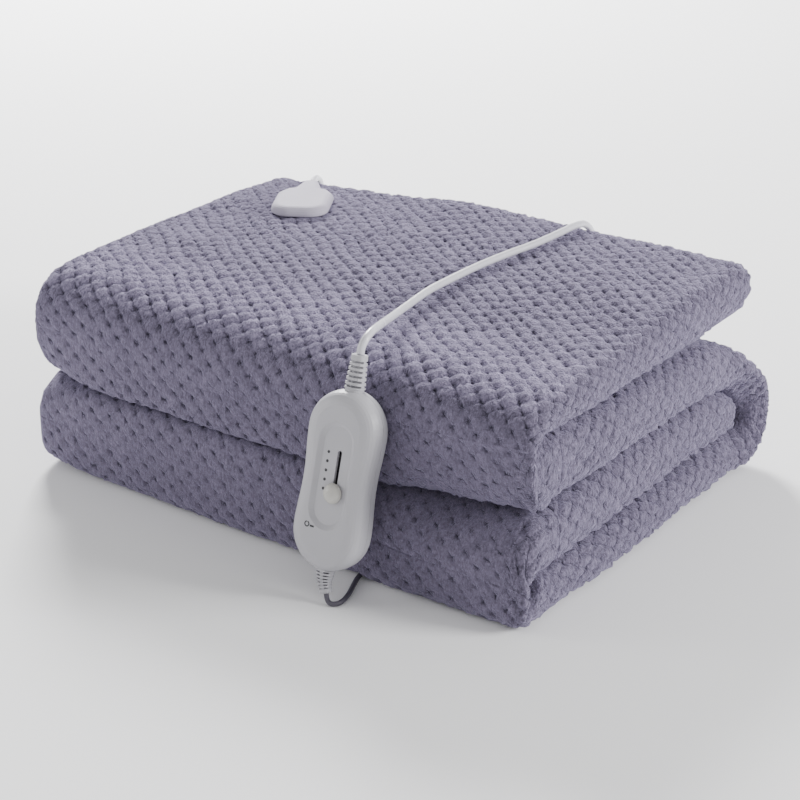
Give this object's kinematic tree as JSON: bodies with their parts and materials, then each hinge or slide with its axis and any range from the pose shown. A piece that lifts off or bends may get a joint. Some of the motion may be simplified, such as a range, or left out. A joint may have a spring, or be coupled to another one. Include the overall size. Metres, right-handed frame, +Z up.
{
  "type": "electric underblanket",
  "caption": "Folded electric underblanket in textured plush, with a slide controller, a connector housing, cords and a mains plug.",
  "frame": {"origin": "on the surface that the folded stack rests on, under the middle of the stack's plan", "axes": "+X along the stack's long side, +Y from the controller's side to the back, +Z up"},
  "size_m": [0.4145, 0.4161, 0.1621],
  "materials": {
    "cloth": "plush with a woven diamond relief",
    "housing": "smooth moulded, satin",
    "case": "smooth moulded, satin",
    "knob": "smooth moulded, satin",
    "relief": "moulded, matte",
    "cord": "smooth sheath",
    "lead": "smooth sheath",
    "tie": "matte",
    "plug": "moulded, matte",
    "pin": "plated"
  },
  "bodies": {
    "underblanket": {"blanket": "cloth", "connector_housing": "housing", "controller_back": "case", "controller_front": "case", "relief_top": "relief", "relief_bottom": "relief", "cord": "cord", "lead": "lead", "lead_coil": "lead", "coil_tie": "tie", "lead_end": "lead", "plug": "plug", "plug_pin_1": "pin", "plug_pin_2": "pin", "plug_relief": "plug"},
    "knob": {"controller_knob": "knob"}
  },
  "joints": [
    {"name": "knob_slide", "type": "slide", "parent": "underblanket", "child": "knob", "axis": [0, 0.2823, 0.9593], "range_m": [0, 0.023]}
  ]
}
